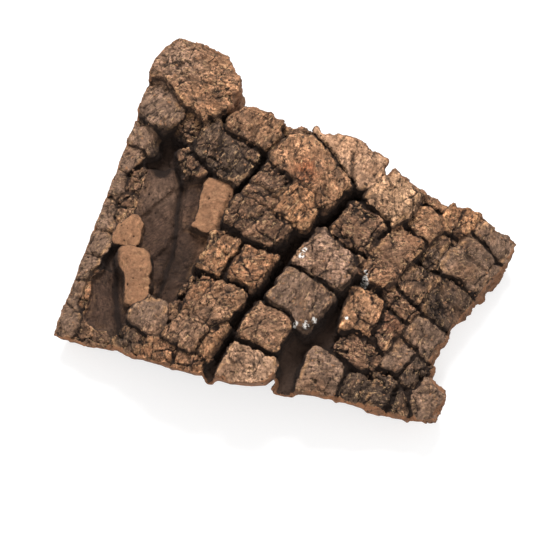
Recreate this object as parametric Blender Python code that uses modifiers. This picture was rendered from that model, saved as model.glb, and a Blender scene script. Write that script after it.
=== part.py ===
"""A flat piece of virgin cork bark, lying on its inner face with the plated outer face up.

The piece is a shallow arch, as it came off the trunk, sawn square on its left and front sides and broken along
its back and right sides. +Y runs up the trunk along the deep fissures, +X goes round the trunk and +Z points
outwards. Every size in the constants and tables is in millimetres; the model is in metres.
"""
import math

import bpy
import numpy as np
from mathutils import Vector, noise

MM = 0.001

# Driving sizes of the whole piece
TRUNK_RADIUS = 190.0             # curve of the inner face round the trunk
ARCH_HALF_SPAN = 66.0            # from the crown of the arch to the lines that it stands on
ARCH_CROWN = 4.5                 # the crown's place, measured square to the arch's axis
ARCH_TURN = math.radians(18.0)   # the fissures spiral this far off the arch's axis
FLOOR_THICKNESS = 6.5            # inner face to the bottom of a fissure
INNER_RIDGE = 0.8                # height of the lengthwise ridges of the inner face
INNER_RIDGE_WIDTH = 7.0
INNER_RIDGE_STRETCH = 4.0        # how many times longer than wide they are
WORN_FLAT = 1.0                  # how much of the inner face's low sides is worn flat, where the piece stands
UNDERCUT = 0.07                  # how far the sides lean in underneath, as a share of the distance to the middle

# The break into columns of plates
FISSURE = 0.8               # narrowest gap between two columns
WALL_RUN = 1.05             # distance over which a column's wall falls to the fissure floor
EDGE_SHARE = 0.93           # share of a plate's rise that is reached at the top of that wall
SHOULDER = 0.6              # distance over which the rest is reached
CORNER = 0.13               # corner radius of a plate, as a share of its shorter side
DOME = 0.035                # how far its middle stands above its shoulder, as a share of the same
CROSS_WIDTH = 0.5           # half width of the cracks between the plates of one column
TILT = 0.06                 # steepest lean of a plate's top
TILT_SEED = 11
WANDER = 1.1                # how far cracks and fissures stray from straight lines
WANDER_SIZE = 8.0
JAG = 0.7                   # the same, for the small notches of a border
JAG_SIZE = 3.2
LUMP = 0.7                  # low lumps over the whole outer face
LUMP_SIZE = 11.0
CHAFE = 0.5                 # how far the walls and sides are roughened
CHAFE_SIZE = 4.5
CHAFE_SEED = 5
BREAK = 2.0                 # the same at the broken sides
BREAK_REACH = 3.0           # how far in from them that goes
LEDGE = 2.6                 # height of the ledges that this leaves

# The slab that is shaped, and how finely
SLAB_THICKNESS = 6.0
SLAB_VOXEL = 0.9
BARK_VOXEL = 0.75
TRIANGLES = 10400
FLAT_SNAP = 0.12            # points this close to the ground lie on it

# Plan of the piece, side by side round it; each side's corners, and how far the outer face drops towards it
FRONT_SAWN = [(-39.5, -75.5), (-36, -75), (-28, -72.5), (-19, -68), (-9, -66), (0, -63), (8.5, -59.5), (10.5, -58),
              (14, -57), (20, -54.5), (26, -50.5), (30, -47), (30.4, -43), (31.4, -42.6), (32, -46),
              (40, -41), (50, -35), (60, -29.5), (68, -25.5), (75, -21.5)]
RIGHT_BROKEN = [(78.5, -18), (78.5, -14), (77, -9.5), (75, -7), (69, -6), (66.5, -2.5), (65, 3), (64.5, 9),
                (63, 15), (64, 21), (63.5, 30), (63, 40), (61.5, 47)]
BACK_BROKEN = [(60, 49.5), (54, 49), (48, 47.8), (41, 47.2), (36, 44), (30, 41.5), (24, 40), (15.5, 40.5),
               (14, 37), (12, 37.5), (10, 41.5), (5, 40.5), (-2, 39), (-7, 36), (-12, 33.5), (-16, 33.5),
               (-22, 31), (-27, 28.5), (-31, 28.5), (-36, 27), (-40, 23), (-42, 20.5), (-43.6, 24), (-44, 28),
               (-47, 32), (-53, 34.5), (-58, 35.5), (-63, 34), (-68, 34.5)]
LEFT_SAWN = [(-74, 31.5), (-76, 26), (-75.5, 20), (-72.5, 12)]
SIDES = [(FRONT_SAWN, 3.0), (RIGHT_BROKEN, 4.5), (BACK_BROKEN, 2.2), (LEFT_SAWN, 0.8)]
SIDE_FALL = 2.6             # distance over which that drop fades

# The columns between the fissures. For each: depth of the shallow cracks within a block, depth of the cracks between
# blocks, how far the column's body stands out round its plates, and its plates. A plate is: centre x, y, width across
# the trunk, length along it, turn in degrees, rise above the fissure floor, block (0 for a block of its own)
COLUMNS = [
    # the great knob at the back left corner
    (1.2, 4.0, 0.8, [(-59.5, 24.5, 32, 22, -8, 14.5, 0)]),
    # its shoulder, and the strip of low plates along the left saw cut
    (0.6, 1.3, 1.1, [
        (-63, 8, 17, 11.6, -24, 11.0, 0), (-50.6, 9, 6, 8, 8, 7.6, 0),
        (-61.6, -2.6, 11, 8, 14, 7.6, 0), (-61.5, -11.6, 10, 9.6, 20, 5.8, 0),
        (-53.6, -16, 6, 9, 20, 4.6, 0), (-57.9, -21.6, 10, 10, 20, 5.4, 0),
        (-50, -26, 6, 11, 20, 4.4, 0), (-54.3, -32, 10, 11, 20, 5.2, 0),
        (-50.8, -42, 10, 9.6, 20, 5.0, 0), (-47.4, -51, 10, 9.4, 20, 4.8, 0),
        (-44, -60.4, 9.6, 10, 20, 4.8, 0), (-40, -56, 4, 14, 22, 4.2, 0),
        (-39.2, -70, 12, 10.6, -22, 4.8, 0), (-27.4, -68.4, 12, 10, 22, 4.0, 0)]),
    # smooth chips, where the outer layers have come away
    (0.5, 2.0, 0.4, [(-41.6, -32, 10, 10.6, 20, 6.6, 0)]),
    (0.5, 2.0, 0.4, [(-29.8, -44.4, 9.6, 20, 44, 7.8, 0)]),
    (0.5, 2.0, 0.6, [(-25.5, -9.6, 11.4, 18, 27, 7.4, 0)]),
    # worn ground between them
    (0.2, 0.2, 0.8, [
        (-43.5, -15, 12, 17, 30, 3.8, 0), (-36, -22, 14, 26, 33, 2.8, 0),
        (-31, -12, 7, 17, 36, 3.4, 0), (-24, -30, 11, 20, 30, 2.0, 0),
        (-19, -32, 9, 25, 8, 1.8, 0), (-31, -57, 13, 24, 38, 1.6, 0)]),
    # left of the big block
    (1.0, 3.2, 0.9, [
        (-31.2, 22, 18.4, 13, 4, 11.6, 0), (-33.7, 8, 21, 14.6, 0, 10.2, 0),
        (-41, -1.6, 12, 6.4, -34, 8.6, 0)]),
    (1.0, 3.0, 1.0, [(-19.8, 29.5, 10, 7, 18, 6.4, 0)]),
    # the big block and what stands below it
    (1.3, 4.4, 0.9, [
        (-1, 35.8, 28, 13, -14, 11.4, 0),
        (-5.6, 19.8, 26.6, 15.4, -8, 14.2, 1), (-1.2, 8.2, 12.4, 15, 10, 13.9, 1),
        (-13.6, 8.8, 10.8, 8.6, 0, 13.2, 1), (-12.6, 1.4, 12, 6, 0, 13.0, 1),
        (-8, -6.4, 21.4, 12.6, 2, 13.1, 1),
        (-12.2, -21.6, 11, 16.5, 8, 9.6, 2), (0.5, -18.6, 11.4, 14.6, 5, 11.6, 0),
        (-7.6, -36.6, 6.3, 15, 5, 10.4, 3), (0.7, -36.4, 11.4, 15.4, 4, 11.3, 3),
        (-1.4, -50.2, 12.4, 13.2, 4, 10.9, 3), (7.2, -46.6, 4.4, 14, 8, 9.8, 3),
        (-12.6, -36, 3.6, 9, 10, 6.6, 0), (-11, -45, 4, 8, 15, 6.4, 0),
        (-5.2, -60.6, 13, 9, 16, 8.6, 3), (5, -57.8, 9.4, 8, 16, 9.0, 3)]),
    (1.0, 2.6, 1.1, [(-15.4, -52.6, 10, 12, 0, 8.2, 0), (-15.8, -62.2, 12, 8.4, 8, 5.6, 0)]),
    # the middle column
    (1.2, 4.0, 0.9, [
        (21.6, 32.2, 14.2, 17.2, 2, 12.0, 0), (18.9, 15.2, 13.2, 13.6, 4, 11.2, 0),
        (18.8, -0.6, 18.6, 15.2, 2, 12.0, 0), (20.6, -16.8, 17.6, 15, 0, 12.4, 0),
        (18, -31.8, 13.4, 13.8, 12, 11.0, 0), (22.8, -47.6, 15.6, 14, 14, 10.0, 0)]),
    # right of it
    (1.2, 3.4, 1.2, [
        (35.6, 32.4, 8.4, 12.2, 6, 9.6, 0), (31.8, 41, 8.6, 5, 14, 7.8, 0),
        (34.2, 15, 10.8, 22, 0, 10.8, 0)]),
    # small plates beside the dark floor
    (1.0, 3.0, 1.5, [
        (41.8, 41.4, 11, 10.2, 8, 9.2, 0), (43.7, 27.6, 4.4, 14, 0, 6.8, 0),
        (46, 14.4, 8.4, 12.2, 0, 8.4, 0), (46.2, 4, 12, 6.6, -8, 8.4, 0),
        (39.6, -6.8, 11, 15.2, 24, 9.8, 0), (49, -5.4, 8.4, 12, 0, 9.2, 0),
        (46.2, -18, 12.4, 8.8, -4, 7.8, 0), (42.8, -31, 13.6, 13.4, 18, 6.8, 0),
        (52, -27.6, 8.4, 11.8, 28, 6.4, 0)]),
    # small plates along the broken right side
    (0.9, 2.6, 1.5, [
        (53.8, 45.2, 11.8, 8, 8, 8.0, 0), (53.8, 32.6, 13.4, 15.4, 2, 8.6, 0),
        (57.6, 16.4, 11.4, 14.6, -2, 7.4, 0), (59.2, 2, 11.6, 10.8, -4, 7.2, 0),
        (57.6, -10.2, 6.4, 11.8, 4, 7.2, 0), (60, -21, 8.2, 11, 28, 6.2, 0),
        (64.4, -9.8, 6.6, 10, 0, 6.8, 0), (66.8, -20.2, 6.6, 7.4, 24, 6.2, 0),
        (72.4, -14, 11.2, 14, 0, 8.6, 0)]),
]

# Grooves, pits and shallow cracks sunk into the outer face: points of its line, half width, depth
GROOVES = [
    ([(-46, -4), (-38, -9), (-33, -18), (-26.5, -27), (-21.5, -38), (-19, -45)], 1.4, 2.6),
    ([(-53, 1), (-51.5, -3.5), (-49.5, -7)], 3.8, 4.4),
    ([(-40, -42), (-32, -51), (-25, -58), (-20, -63)], 1.8, 2.6),
    ([(32, -2), (31.5, -14), (29, -28), (31, -39)], 2.4, 1.6),
    ([(10, 24), (9.5, 8), (6.5, -4), (8, -20), (9.5, -40), (11, -50)], 1.6, 2.0),
    ([(-21, 26), (-20.5, 10), (-20, -5), (-17, -14)], 1.4, 1.6),
    ([(-71, 21), (-65, 24), (-61, 30)], 0.8, 1.0),
    ([(-66, 14), (-64, 20), (-58, 22)], 0.8, 1.1),
    ([(-57, 31), (-53, 25), (-54, 18)], 0.7, 0.8),
    ([(-30, 27), (-31, 21), (-29, 15)], 0.8, 1.2),
    ([(-40, 15), (-37, 9), (-35, 2)], 0.8, 1.8),
    ([(-30, 14), (-28.5, 7), (-29, 1)], 0.7, 1.0),
    ([(-9, 1), (-8, -6), (-8.5, -12)], 0.7, 1.0),
    ([(1, 34), (4, 31), (8, 25)], 0.8, 1.8),
    ([(22, 39), (21.5, 32), (23, 25)], 0.7, 0.8),
    ([(12, 9), (20, 8.5), (27, 5.5)], 0.8, 1.6),
    ([(18, 6), (19, -1), (18, -8)], 0.7, 0.8),
    ([(28, 13.5), (34, 13), (40, 14)], 0.7, 1.1),
    ([(-2, -29), (-1, -37), (-3, -44)], 0.7, 1.0),
    ([(47, 36), (53, 33), (59, 34)], 0.7, 1.0),
    ([(50, 19), (56, 17), (63, 18)], 0.7, 1.0),
    ([(36, -5), (41, -6), (44, -12)], 0.7, 1.1),
    ([(38, -29), (44, -31), (48, -36)], 0.7, 0.9),
    ([(17, -50), (23, -47), (29, -45)], 0.7, 0.8),
]


def rough(x, y, size, salt):
    """Smooth noise from -1 to 1 whose lumps are about size across."""
    return np.array([noise.noise(Vector((a / size, b / size, salt))) for a, b in zip(x, y)])


def arch(x, y):
    """Height of the inner face's smooth arch."""
    across = x * math.cos(ARCH_TURN) + y * math.sin(ARCH_TURN) - ARCH_CROWN
    return (ARCH_HALF_SPAN ** 2 - across ** 2) / (2 * TRUNK_RADIUS)


def line_distance(x, y, line):
    """Distance to a line of straight stretches."""
    nearest = np.full(len(x), np.inf)
    for (ax, ay), (bx, by) in zip(line, line[1:]):
        ux, uy = bx - ax, by - ay
        along = np.clip(((x - ax) * ux + (y - ay) * uy) / (ux * ux + uy * uy), 0, 1)
        nearest = np.minimum(nearest, np.hypot(x - ax - along * ux, y - ay - along * uy))
    return nearest


def plate_depth(x, y, plate):
    """How far a point lies inside a plate's rounded rectangle; negative outside it."""
    cx, cy, width, length, turn = plate[:5]
    c, s = math.cos(math.radians(turn)), math.sin(math.radians(turn))
    corner = CORNER * min(width, length)
    u = np.abs((x - cx) * c + (y - cy) * s) - width / 2 + corner
    v = np.abs((y - cy) * c - (x - cx) * s) - length / 2 + corner
    outside = np.hypot(np.maximum(u, 0), np.maximum(v, 0))
    return corner - outside - np.minimum(np.maximum(u, v), 0)


def two_deepest(depths):
    """For each point the row with the greatest depth, that depth, the next row and the next depth."""
    order = np.argsort(depths, axis=0)
    point = np.arange(depths.shape[1])
    first = order[-1]
    second = order[-2] if len(depths) > 1 else first
    next_depth = depths[second, point] if len(depths) > 1 else np.full(len(point), -np.inf)
    return first, depths[first, point], second, next_depth


def nearest_plate(x, y):
    """For each point: its plate's number, its depth inside its column, and the crack there, from 0 to its depth."""
    wx = x + WANDER * rough(x, y, WANDER_SIZE, 3.1) + JAG * rough(x, y, JAG_SIZE, 31.4)
    wy = y + WANDER * rough(x, y, WANDER_SIZE, 7.7) + JAG * rough(x, y, JAG_SIZE, 44.9)
    plates, column_depths, cracks = [], [], []
    count = 0
    for shallow, deep, swell, members in COLUMNS:
        own, first, other, second = two_deepest(np.array([plate_depth(wx, wy, plate) for plate in members]))
        block = np.array([plate[6] for plate in members])
        together = (block[own] == block[other]) & (block[own] > 0)
        depth = np.where(together, shallow, deep)
        cracks.append(depth * np.exp(-((first - second) / 2 / CROSS_WIDTH) ** 2))
        plates.append(own + count)
        column_depths.append(first + swell)
        count += len(members)
    column, first, _, second = two_deepest(np.array(column_depths))
    point = np.arange(len(x))
    inside = np.minimum(first, (first - second - FISSURE) / 2)
    return np.array(plates)[column, point], inside, np.array(cracks)[column, point]


def all_plates():
    """Every plate, in the order of their numbers."""
    return [plate for *_, members in COLUMNS for plate in members]


def relief(x, y, own, inside, crack):
    """Height of the plates above the fissure floor."""
    plates = all_plates()
    size = np.array([min(plate[2], plate[3]) for plate in plates])[own]
    rise = np.array([plate[5] for plate in plates])[own]
    wall = EDGE_SHARE * np.exp(-(np.minimum(inside, 0) / WALL_RUN) ** 2)
    top = 1 - (1 - EDGE_SHARE) * np.exp(-np.maximum(inside, 0) / SHOULDER)
    dome = DOME * size * np.clip(2 * inside / size, 0, 1)
    lean = np.random.default_rng(TILT_SEED).uniform(-TILT, TILT, (len(plates), 2))[own]
    middle = np.array([plate[:2] for plate in plates])[own]
    tilt = np.clip(lean[:, 0] * (x - middle[:, 0]) + lean[:, 1] * (y - middle[:, 1]), -1, 1)
    share = np.where(inside < 0, wall, top)
    return share * (rise + tilt - crack) + dome


def grooves(x, y):
    """Depth of the grooves, pits and shallow cracks."""
    wx = x + WANDER * rough(x, y, WANDER_SIZE, 5.3)
    deepest = np.zeros(len(x))
    for line, half_width, depth in GROOVES:
        deepest = np.maximum(deepest, depth * np.exp(-(line_distance(wx, y, line) / half_width) ** 2))
    return deepest


def outline():
    """The piece's plan as one closed line."""
    return [corner for side, _ in SIDES for corner in side]


def side_drop(x, y):
    """How far the outer face falls towards the piece's sides."""
    corners = outline()
    drop = np.zeros(len(x))
    start = 0
    for side, depth in SIDES:
        stretch = (corners + corners[:1])[start:start + len(side) + 1]
        drop = np.maximum(drop, depth * np.exp(-line_distance(x, y, stretch) / SIDE_FALL))
        start += len(side)
    return drop


def inner_face(x, y):
    """Height of the underside, worn flat along its low sides."""
    ridges = INNER_RIDGE * rough(x, y / INNER_RIDGE_STRETCH, INNER_RIDGE_WIDTH, 12.5)
    return np.maximum(arch(x, y) + ridges - WORN_FLAT, 0)


def outer_face(x, y):
    """Height of the plated outer face."""
    lumps = LUMP * rough(x, y, LUMP_SIZE, 21.0)
    floor = np.maximum(arch(x, y), 0) + FLOOR_THICKNESS + lumps
    return floor + relief(x, y, *nearest_plate(x, y)) - grooves(x, y) - side_drop(x, y)


def cork_material():
    """Weathered cork: dry, rough and brown."""
    material = bpy.data.materials.new("weathered_cork")
    material.use_nodes = True
    shader = material.node_tree.nodes["Principled BSDF"]
    shader.inputs["Base Color"].default_value = (0.155, 0.090, 0.052, 1)
    shader.inputs["Roughness"].default_value = 0.9
    shader.inputs["Metallic"].default_value = 0.0
    return material


def plain_mesh(obj):
    """The object's shape with its modifiers worked in; the object itself is removed."""
    bpy.context.view_layer.update()
    mesh = bpy.data.meshes.new_from_object(obj.evaluated_get(bpy.context.evaluated_depsgraph_get()))
    bpy.data.objects.remove(obj)
    return mesh


def mesh_points(mesh):
    points = np.empty(len(mesh.vertices) * 3)
    mesh.vertices.foreach_get("co", points)
    return points.reshape(-1, 3)


def set_points(mesh, points):
    mesh.vertices.foreach_set("co", points.ravel())
    mesh.update()


def even_mesh(obj, voxel):
    """The object's shape as an even mesh of small squares; the object itself is removed."""
    remesh = obj.modifiers.new("even_mesh", "REMESH")
    remesh.mode = "VOXEL"
    remesh.voxel_size = voxel
    return plain_mesh(obj)


def thin_out(obj):
    """Leaves the object only as many triangles as its form needs."""
    obj.data.calc_loop_triangles()
    decimate = obj.modifiers.new("fewer_faces", "DECIMATE")
    decimate.ratio = TRIANGLES / len(obj.data.loop_triangles)
    decimate.use_collapse_triangulate = True


def placed(name, data, collection):
    """An object of that name and shape, in the collection."""
    obj = bpy.data.objects.new(name, data)
    collection.objects.link(obj)
    return obj


def slab_mesh(collection):
    """A flat slab with the piece's plan, meshed finely enough to be shaped."""
    curve = bpy.data.curves.new("plan", "CURVE")
    curve.dimensions = "2D"
    curve.fill_mode = "BOTH"
    curve.extrude = SLAB_THICKNESS / 2
    corners = outline()
    spline = curve.splines.new("POLY")
    spline.points.add(len(corners) - 1)
    for point, (x, y) in zip(spline.points, corners):
        point.co = (x, y, 0, 1)
    spline.use_cyclic_u = True
    return even_mesh(placed("plan", curve, collection), SLAB_VOXEL)


def brokenness(x, y):
    """1 at the broken sides, fading to 0 away from them."""
    away = np.minimum(line_distance(x, y, RIGHT_BROKEN), line_distance(x, y, BACK_BROKEN))
    return np.exp(-(away / BREAK_REACH) ** 2)


def chafe(points):
    """Sideways shift of each point that roughens the walls in low ledges, most of all at the broken sides."""
    noise.seed_set(CHAFE_SEED)
    places = points / (CHAFE_SIZE, CHAFE_SIZE, LEDGE)
    reach = CHAFE + (BREAK - CHAFE) * brokenness(points[:, 0], points[:, 1])
    return np.array([noise.noise_vector(Vector(place))[:2] for place in places]) * reach[:, None]


def shape_bark(mesh):
    """Carries the slab's two faces to the inner and the outer face of the bark, and roughens its walls."""
    x, y, z = mesh_points(mesh).T
    share = np.clip(z / SLAB_THICKNESS + 0.5, 0, 1)
    low = inner_face(x, y)
    height = low + share * (outer_face(x, y) - low)
    lean = 1 - UNDERCUT * (1 - share)
    points = np.column_stack([x * lean, y * lean, height])
    points[:, :2] += chafe(points)
    set_points(mesh, points)


def settle(mesh):
    """Lays the lowest points flat on the ground and puts the origin under the piece's middle, in metres."""
    points = mesh_points(mesh)
    points[points[:, 2] < FLAT_SNAP, 2] = 0
    middle = (points.max(axis=0) + points.min(axis=0)) / 2
    points -= (middle[0], middle[1], 0)
    set_points(mesh, points * MM)


def main():
    for obj in list(bpy.data.objects):
        bpy.data.objects.remove(obj)
    collection = bpy.data.collections.new("piece_of_bark")
    bpy.context.scene.collection.children.link(collection)
    slab = slab_mesh(collection)
    shape_bark(slab)
    even = placed("even", even_mesh(placed("shaped", slab, collection), BARK_VOXEL), collection)
    thin_out(even)
    mesh = plain_mesh(even)
    settle(mesh)
    mesh.materials.clear()
    mesh.materials.append(cork_material())
    placed("bark", mesh, collection)


main()
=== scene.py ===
"""The piece of cork bark as it looks: plated crust, fissures, crumbs, pores, sawn sides and inner face.

The form follows the same plan, arch and plates as the solid in the frame, so that the fine piece lies where
the solid lies. On top of it come the marks of growth and weather that the solid is too coarse to hold.
Sizes in the constants and tables are in millimetres, except where a heading says metres.
"""
import math

import bmesh
import bpy
import numpy as np
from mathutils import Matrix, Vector, noise


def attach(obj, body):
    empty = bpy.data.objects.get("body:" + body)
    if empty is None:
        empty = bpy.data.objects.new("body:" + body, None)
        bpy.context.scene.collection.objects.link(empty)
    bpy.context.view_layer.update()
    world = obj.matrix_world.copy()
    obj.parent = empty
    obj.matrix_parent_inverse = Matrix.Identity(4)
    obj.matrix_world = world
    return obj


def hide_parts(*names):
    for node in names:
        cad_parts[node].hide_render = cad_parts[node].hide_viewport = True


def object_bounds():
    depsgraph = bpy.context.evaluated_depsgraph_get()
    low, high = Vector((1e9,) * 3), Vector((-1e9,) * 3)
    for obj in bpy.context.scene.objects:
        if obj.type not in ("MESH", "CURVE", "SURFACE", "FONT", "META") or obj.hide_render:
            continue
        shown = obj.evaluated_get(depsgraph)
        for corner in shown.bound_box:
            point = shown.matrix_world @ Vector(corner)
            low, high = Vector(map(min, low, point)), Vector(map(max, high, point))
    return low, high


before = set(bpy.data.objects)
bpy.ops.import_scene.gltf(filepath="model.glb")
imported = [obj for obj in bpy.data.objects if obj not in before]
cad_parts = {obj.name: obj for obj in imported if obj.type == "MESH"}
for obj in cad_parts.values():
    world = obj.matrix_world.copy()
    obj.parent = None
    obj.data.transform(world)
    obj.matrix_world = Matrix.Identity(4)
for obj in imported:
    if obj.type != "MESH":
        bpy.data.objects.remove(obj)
cad_low, cad_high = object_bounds()

MM = 0.001

# Driving sizes of the whole piece
TRUNK_RADIUS = 190.0      # curve of the inner face round the trunk
ARCH_HALF_SPAN = 66.0     # from the crown of the arch to the lines that it stands on
ARCH_CROWN = 4.5          # the crown's place, measured square to the arch's axis
ARCH_TURN = math.radians(18.0)    # the fissures spiral this far off the arch's axis
FLOOR_THICKNESS = 6.5     # inner face to the bottom of a fissure
INNER_RIDGE = 0.8         # height of the lengthwise ridges of the inner face
INNER_RIDGE_WIDTH = 7.0
INNER_RIDGE_STRETCH = 4.0     # how many times longer than wide they are
WORN_FLAT = 1.0           # how much of the inner face's low sides is worn flat, where the piece stands
UNDERCUT = 0.07           # how far the sides lean in underneath, as a share of the way to the middle

# The break into columns of plates
FISSURE = 0.8         # narrowest gap between two columns
WALL_RUN = 1.05       # distance over which a column's wall falls to the fissure floor
EDGE_SHARE = 0.93     # share of a plate's rise that is reached at the top of that wall
SHOULDER = 0.6        # distance over which the rest is reached
CORNER = 0.13         # corner radius of a plate, as a share of its shorter side
DOME = 0.035          # how far its middle stands above its shoulder, as a share of the same
CROSS_WIDTH = 0.5     # half width of the cracks between the plates of one column
TILT = 0.06           # steepest lean of a plate's top
TILT_SEED = 11
WANDER = 1.1          # how far cracks and fissures stray from straight lines
WANDER_SIZE = 8.0
JAG = 0.7             # the same, for the small notches of a border
JAG_SIZE = 3.2
LUMP = 0.7            # low lumps over the whole outer face
LUMP_SIZE = 11.0
CHAFE = 0.5           # how far the walls and sides are roughened
CHAFE_SIZE = 4.5
CHAFE_SEED = 5
BREAK = 2.0           # the same at the broken sides
BREAK_REACH = 3.0     # how far in from them that goes
LEDGE = 2.6           # height of the ledges that this leaves

# How finely the piece is meshed
SLAB_THICKNESS = 6.0
SLAB_VOXEL = 0.5
BARK_VOXEL = 0.4
TRIANGLES = 290000

# Colours of the crust
TONES = {
    "tan": "#8B654A",       # outer layers rubbed down to fresh cork
    "straw": "#A27E61",     # the lightest, driest tops
    "orange": "#845C41",    # cork not long exposed
    "rust": "#7A3E22",      # reddest stains
    "brown": "#6C4F3C",     # plain old crust
    "grey": "#715949",      # long weathered
    "dark": "#4B3B30",      # crust full of dirt
    "floor": "#3D2C23",     # tanned, smooth ground between the plates
    "chip": "#866046",      # smooth cork under the lost outer layers
    "amber": "#A07250",     # the freshest orange cork
    "ash": "#8D6F5C",       # weathered, but dry and light
    "pale": "#B28C70",      # bleached plates at the edges
    "gloom": "#281D17",     # darkest brown, laid in grooves, pits and low ground
}
WEAR_AND_HIGHLIGHT = "#B48860"          # light tan on high spots and plate rims: worn cork with painted highlight
CRUMB_HIGHLIGHT = "#D2AA7E"           # painted highlight specks on the crumbs
DIRT_AND_SHADE = "#1E1511"            # dark brown: dirt in specks and pores, and painted shade with dirt in cracks, grooves, hollows and down the fissures' rims
FISSURE_FLOOR_SHADE = "#46362D"            # bottom of a wide fissure: its dark brown with painted shade, darker the deeper it lies
WALL_SHADE = "#33261E"            # fissure walls: painted shade over their darker crust
SAWN = "#8A6044"            # cork cut by the saw
SAWN_DARK = "#5E3F2C"       # its denser yearly layers
INNER = "#57301E"           # face that lay against the trunk
INNER_DARK = "#22120C"      # streaks on that face
MOULD = "#E2DDD6"           # dry white mould

# How crumbly a plate is, from its tone: 0 for smooth and wrinkled, 1 for crumbs all over
CRUMBLY = {"tan": 0.6, "straw": 0.6, "orange": 0.8, "amber": 0.7, "ash": 0.6, "pale": 0.5, "rust": 0.5,
           "brown": 1.0, "grey": 0.5, "dark": 0.9, "floor": 0.0, "chip": 0.0}
STREAK_SEED = 4             # each plate's wrinkles and streaks run their own way
STREAK_TURN = 1.2           # furthest turn of them, in radians

# Plan of the piece, side by side round it; each side's corners, and how far the outer face drops towards it
FRONT_SAWN = [(-39.5, -75.5), (-36, -75), (-28, -72.5), (-19, -68), (-9, -66), (0, -63), (8.5, -59.5),
              (10.5, -58), (14, -57), (20, -54.5), (26, -50.5), (30, -47), (30.4, -43), (31.4, -42.6),
              (32, -46), (40, -41), (50, -35), (60, -29.5), (68, -25.5), (75, -21.5)]
RIGHT_BROKEN = [(78.5, -18), (78.5, -14), (77, -9.5), (75, -7), (69, -6), (66.5, -2.5), (65, 3), (64.5, 9),
                (63, 15), (64, 21), (63.5, 30), (63, 40), (61.5, 47)]
BACK_BROKEN = [(60, 49.5), (54, 49), (48, 47.8), (41, 47.2), (36, 44), (30, 41.5), (24, 40), (15.5, 40.5),
               (14, 37), (12, 37.5), (10, 41.5), (5, 40.5), (-2, 39), (-7, 36), (-12, 33.5), (-16, 33.5),
               (-22, 31), (-27, 28.5), (-31, 28.5), (-36, 27), (-40, 23), (-42, 20.5), (-43.6, 24), (-44, 28),
               (-47, 32), (-53, 34.5), (-58, 35.5), (-63, 34), (-68, 34.5)]
LEFT_SAWN = [(-74, 31.5), (-76, 26), (-75.5, 20), (-72.5, 12)]
SIDES = [(FRONT_SAWN, 3.0), (RIGHT_BROKEN, 4.5), (BACK_BROKEN, 2.2), (LEFT_SAWN, 0.8)]
SIDE_FALL = 2.6             # distance over which that drop fades

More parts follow.
